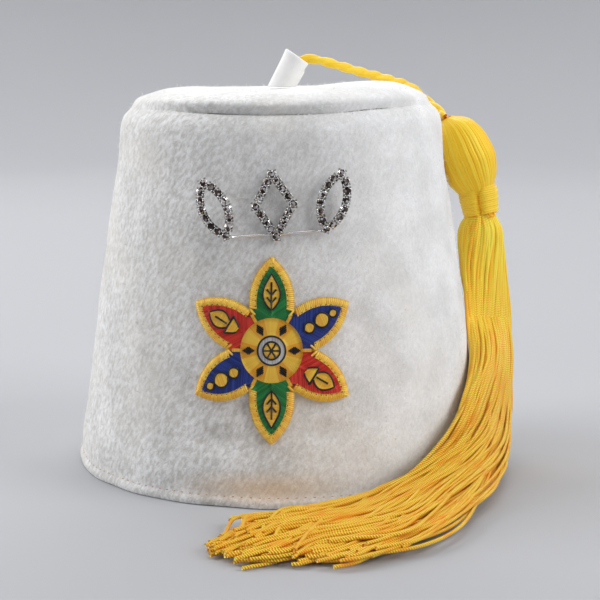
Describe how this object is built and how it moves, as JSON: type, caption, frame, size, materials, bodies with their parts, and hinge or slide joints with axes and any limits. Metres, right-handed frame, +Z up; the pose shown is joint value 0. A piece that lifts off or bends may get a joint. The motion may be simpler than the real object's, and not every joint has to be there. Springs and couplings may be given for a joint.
{
  "type": "fez hat",
  "caption": "Tall tapered felt fez with a round top, a rolled felt stem, a cord and tassel hanging at its side, and a patch and a rhinestone pin on its front.",
  "frame": {"origin": "middle of the hat's foot, on the surface it stands on", "axes": "+Z up; -Y is the front, with the patch and the pin; +X is the side where the tassel hangs"},
  "size_m": [0.1889, 0.2522, 0.1771],
  "materials": {
    "white_felt": "napped wool felt",
    "gold_rayon": "glossy rayon thread",
    "embroidery": "satin stitch and merrowed border",
    "silver_setting": "bright silver plate",
    "rhinestone": "foiled cut glass"
  },
  "bodies": {
    "root": {"crown_wall": "white_felt", "crown_top": "white_felt", "stem": "white_felt", "hanging_cord": "gold_rayon", "tassel": "gold_rayon", "neck_binding": "gold_rayon", "patch": "embroidery", "rhinestone_pin": "silver_setting"}
  },
  "joints": []
}
